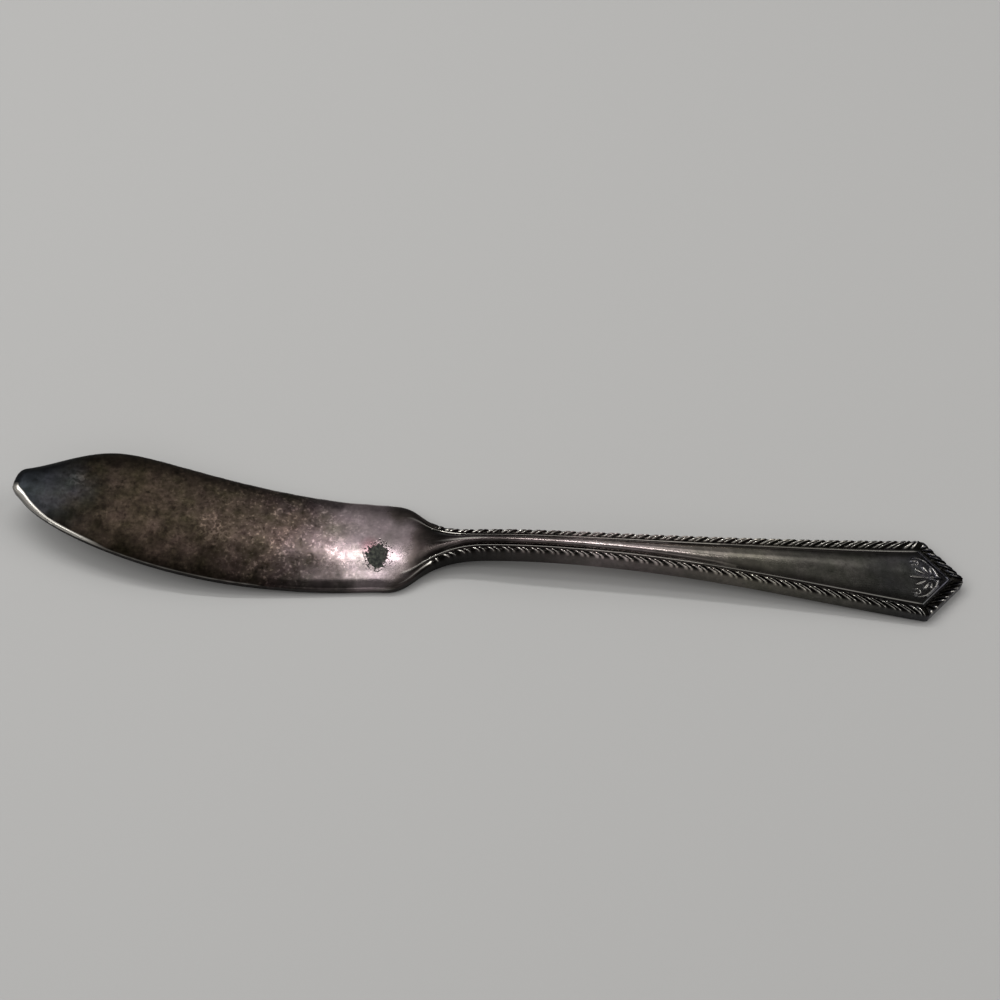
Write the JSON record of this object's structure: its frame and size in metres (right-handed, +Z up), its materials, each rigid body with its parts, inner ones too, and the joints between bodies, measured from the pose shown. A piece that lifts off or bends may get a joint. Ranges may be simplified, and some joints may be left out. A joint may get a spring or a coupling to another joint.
{
  "type": "butter knife",
  "caption": "Flat-handled serving butter knife with a broad humped blade, a slim arched stem and a pointed handle with a rope border, in tarnished silver plate.",
  "frame": {"origin": "on the table, under the middle of the knife's box as it lies pattern side up", "axes": "+X along the knife towards the handle's point, +Y towards the spine of the blade, +Z up"},
  "size_m": [0.178, 0.0252, 0.0085],
  "materials": {
    "bare_nickel_silver": "matte",
    "tarnished_silver": "satin"
  },
  "bodies": {
    "root": {"struck_blank": "bare_nickel_silver", "silver_plate": "tarnished_silver"}
  },
  "joints": []
}
